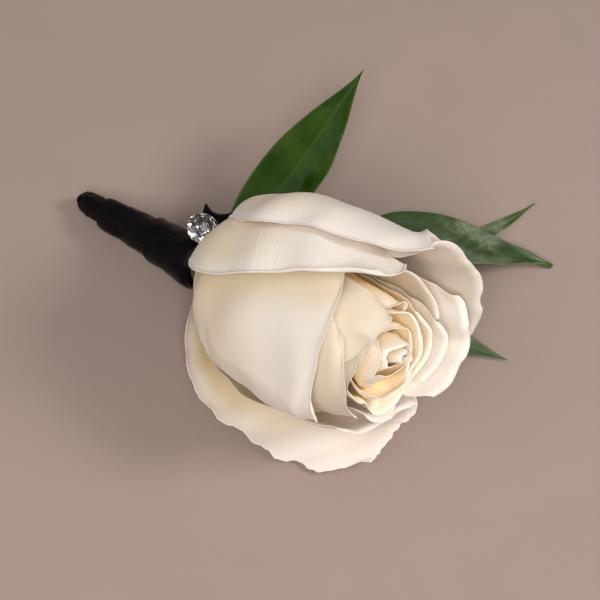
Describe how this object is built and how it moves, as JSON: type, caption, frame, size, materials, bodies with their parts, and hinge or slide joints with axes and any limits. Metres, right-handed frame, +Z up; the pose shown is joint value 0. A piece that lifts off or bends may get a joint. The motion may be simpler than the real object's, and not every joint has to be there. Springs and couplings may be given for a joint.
{
  "type": "flower lapel pin",
  "caption": "Cream rose boutonniere on its side: an open bloom with a ruffled heart, a satin-wrapped stem, a clear faceted stone on a pin, and pointed green leaves on a twig.",
  "frame": {"origin": "on the surface that the part lies on, below the middle of its box", "axes": "+X from the stem's tip towards the bloom's mouth, +Z up from the surface, +Y towards the leaves"},
  "size_m": [0.095, 0.0844, 0.0487],
  "materials": {
    "petal": "soft matt, cream white",
    "heart": "soft matt, warm cream",
    "leaf": "waxy, dark green",
    "stem": "green, smooth",
    "ribbon": "black satin",
    "stone": "clear, faceted, polished",
    "pin": "plain bright steel"
  },
  "bodies": {
    "root": {"stem": "stem", "ribbon_wrap": "ribbon", "ribbon_tail": "ribbon", "stone": "stone", "stone_pin": "pin", "twig": "stem", "leaf_1": "leaf", "leaf_2": "leaf", "leaf_3": "leaf", "leaf_4": "leaf", "fallen_petal": "petal", "crest_petal": "petal", "back_petal": "petal", "hood_petal": "petal", "wrap_petal": "petal", "low_petal": "petal", "far_petal": "petal", "cuff_petal": "petal", "veil_petal": "petal", "lap_petal": "petal", "shell_petal": "petal", "bowl_petal": "petal", "heart_petal_1": "heart", "heart_petal_2": "heart", "heart_petal_3": "heart", "heart_petal_4": "heart", "heart_petal_5": "heart", "heart_petal_6": "heart", "heart_petal_7": "heart", "heart_petal_8": "heart", "heart_petal_9": "heart", "heart_petal_10": "heart", "heart_petal_11": "heart"}
  },
  "joints": []
}
